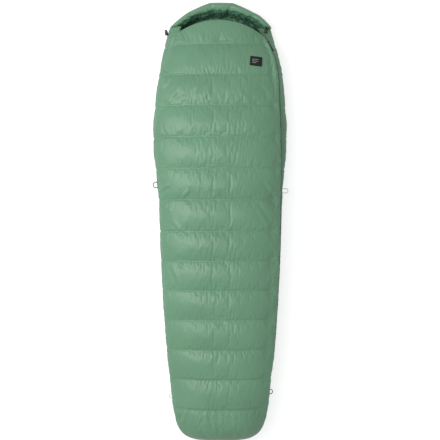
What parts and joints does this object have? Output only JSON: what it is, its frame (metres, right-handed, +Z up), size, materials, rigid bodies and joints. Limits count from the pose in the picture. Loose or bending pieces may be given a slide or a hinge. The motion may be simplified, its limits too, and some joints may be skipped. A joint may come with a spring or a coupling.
{
  "type": "mummy sleeping bag",
  "caption": "Quilted mummy sleeping bag with a two-way side zipper, padded hood, fold-back corner and cord locks.",
  "frame": {"origin": "middle of the footprint on the floor, z = 0 at the underside of the lying bag", "axes": "+X towards the zipper side, +Y towards the hood, +Z up"},
  "size_m": [0.6449, 2.0823, 0.2476],
  "materials": {
    "shell_fabric": "satin",
    "lining_fabric": "satin",
    "zipper_tape": "matte",
    "zipper_coil": "satin",
    "slider_metal": "satin",
    "black_webbing": "matte",
    "grey_cord": "matte",
    "black_plastic": "satin"
  },
  "bodies": {
    "bag": {"cord_lock_left": "black_plastic", "cord_lock_right": "black_plastic", "draft_tube": "lining_fabric", "drawcord_end_left": "grey_cord", "drawcord_end_right": "grey_cord", "fold_band": "shell_fabric", "fold_draft_tube": "lining_fabric", "fold_zipper": "zipper_tape", "foot_loop_left": "grey_cord", "foot_loop_right": "black_webbing", "hood_baffle_1": "shell_fabric", "hood_baffle_2": "shell_fabric", "hood_baffle_3": "shell_fabric", "hood_baffle_4": "shell_fabric", "hood_baffle_5": "shell_fabric", "hood_floor": "lining_fabric", "side_loop_left": "black_webbing", "side_loop_right": "grey_cord", "top_chamber_01": "shell_fabric", "top_chamber_02": "shell_fabric", "top_chamber_03": "shell_fabric", "top_chamber_04": "shell_fabric", "top_chamber_05": "shell_fabric", "top_chamber_06": "shell_fabric", "top_chamber_07": "shell_fabric", "top_chamber_08": "shell_fabric", "top_chamber_09": "shell_fabric", "top_chamber_10": "shell_fabric", "top_chamber_11": "shell_fabric", "top_chamber_12": "shell_fabric", "top_chamber_13": "shell_fabric", "top_chamber_14": "shell_fabric", "under_chamber_foot": "shell_fabric", "under_chamber_neck": "shell_fabric", "under_chambers_hip": "shell_fabric", "under_chambers_shin": "shell_fabric", "under_chambers_shoulder": "shell_fabric", "under_chambers_thigh": "shell_fabric", "zipper_coil_top": "zipper_coil", "zipper_coil_under": "zipper_coil", "zipper_stops": "slider_metal", "zipper_tape_top": "zipper_tape", "zipper_tape_under": "zipper_tape"},
    "top_corner": {"draft_tube_flap": "lining_fabric", "flap_chamber_01": "shell_fabric", "flap_chamber_02": "shell_fabric", "flap_chamber_03": "shell_fabric", "flap_chamber_04": "shell_fabric", "label_patch": "black_webbing", "zipper_coil_flap": "zipper_coil", "zipper_tape_flap": "zipper_tape"},
    "slider_lower": {"slider_lower": "slider_metal"},
    "pull_lower": {"pull_ring_lower": "slider_metal", "pull_tab_lower": "black_webbing"},
    "slider_upper": {"slider_upper": "slider_metal"},
    "pull_upper": {"pull_ring_upper": "slider_metal", "pull_tab_upper": "black_webbing"},
    "lock_button_left": {"lock_button_left": "black_plastic"},
    "lock_button_right": {"lock_button_right": "black_plastic"}
  },
  "joints": [
    {"name": "corner_fold", "type": "hinge", "parent": "bag", "child": "top_corner", "pos_m": [-0.09, 0.935, 0.227], "axis": [0.4749, -0.88, 0], "range_deg": [0, 140], "deforming": ["fold_band", "fold_zipper", "fold_draft_tube"]},
    {"name": "lower_slider_travel", "type": "hinge", "parent": "bag", "child": "slider_lower", "pos_m": [-10.28987, 0.19611, 0.12825], "axis": [0, -0.0362, 0.9993], "range_deg": [0, 6.49]},
    {"name": "upper_slider_travel", "type": "hinge", "parent": "bag", "child": "slider_upper", "pos_m": [0.018, 0.65575, -0.07683], "axis": [-0.652, -0.056, 0.7562], "range_deg": [-30.24, 0]},
    {"name": "lower_pull_swing", "type": "hinge", "parent": "slider_lower", "child": "pull_lower", "pos_m": [0.25703, -0.62234, 0.10034], "axis": [0.4227, 0, -0.9063], "range_deg": [0, 150]},
    {"name": "upper_pull_swing", "type": "hinge", "parent": "slider_upper", "child": "pull_upper", "pos_m": [0.22909, 0.84417, 0.11768], "axis": [-0.4612, 0.095, 0.8822], "range_deg": [0, 150]},
    {"name": "left_lock_press", "type": "slide", "parent": "bag", "child": "lock_button_left", "axis": [0.2079, -0.9781, 0], "range_m": [0, 0.004], "stiffness_N_per_m": 600, "springref_m": -0.002},
    {"name": "right_lock_press", "type": "slide", "parent": "bag", "child": "lock_button_right", "axis": [-0.2079, -0.9781, 0], "range_m": [0, 0.004], "stiffness_N_per_m": 600, "springref_m": -0.002}
  ]
}
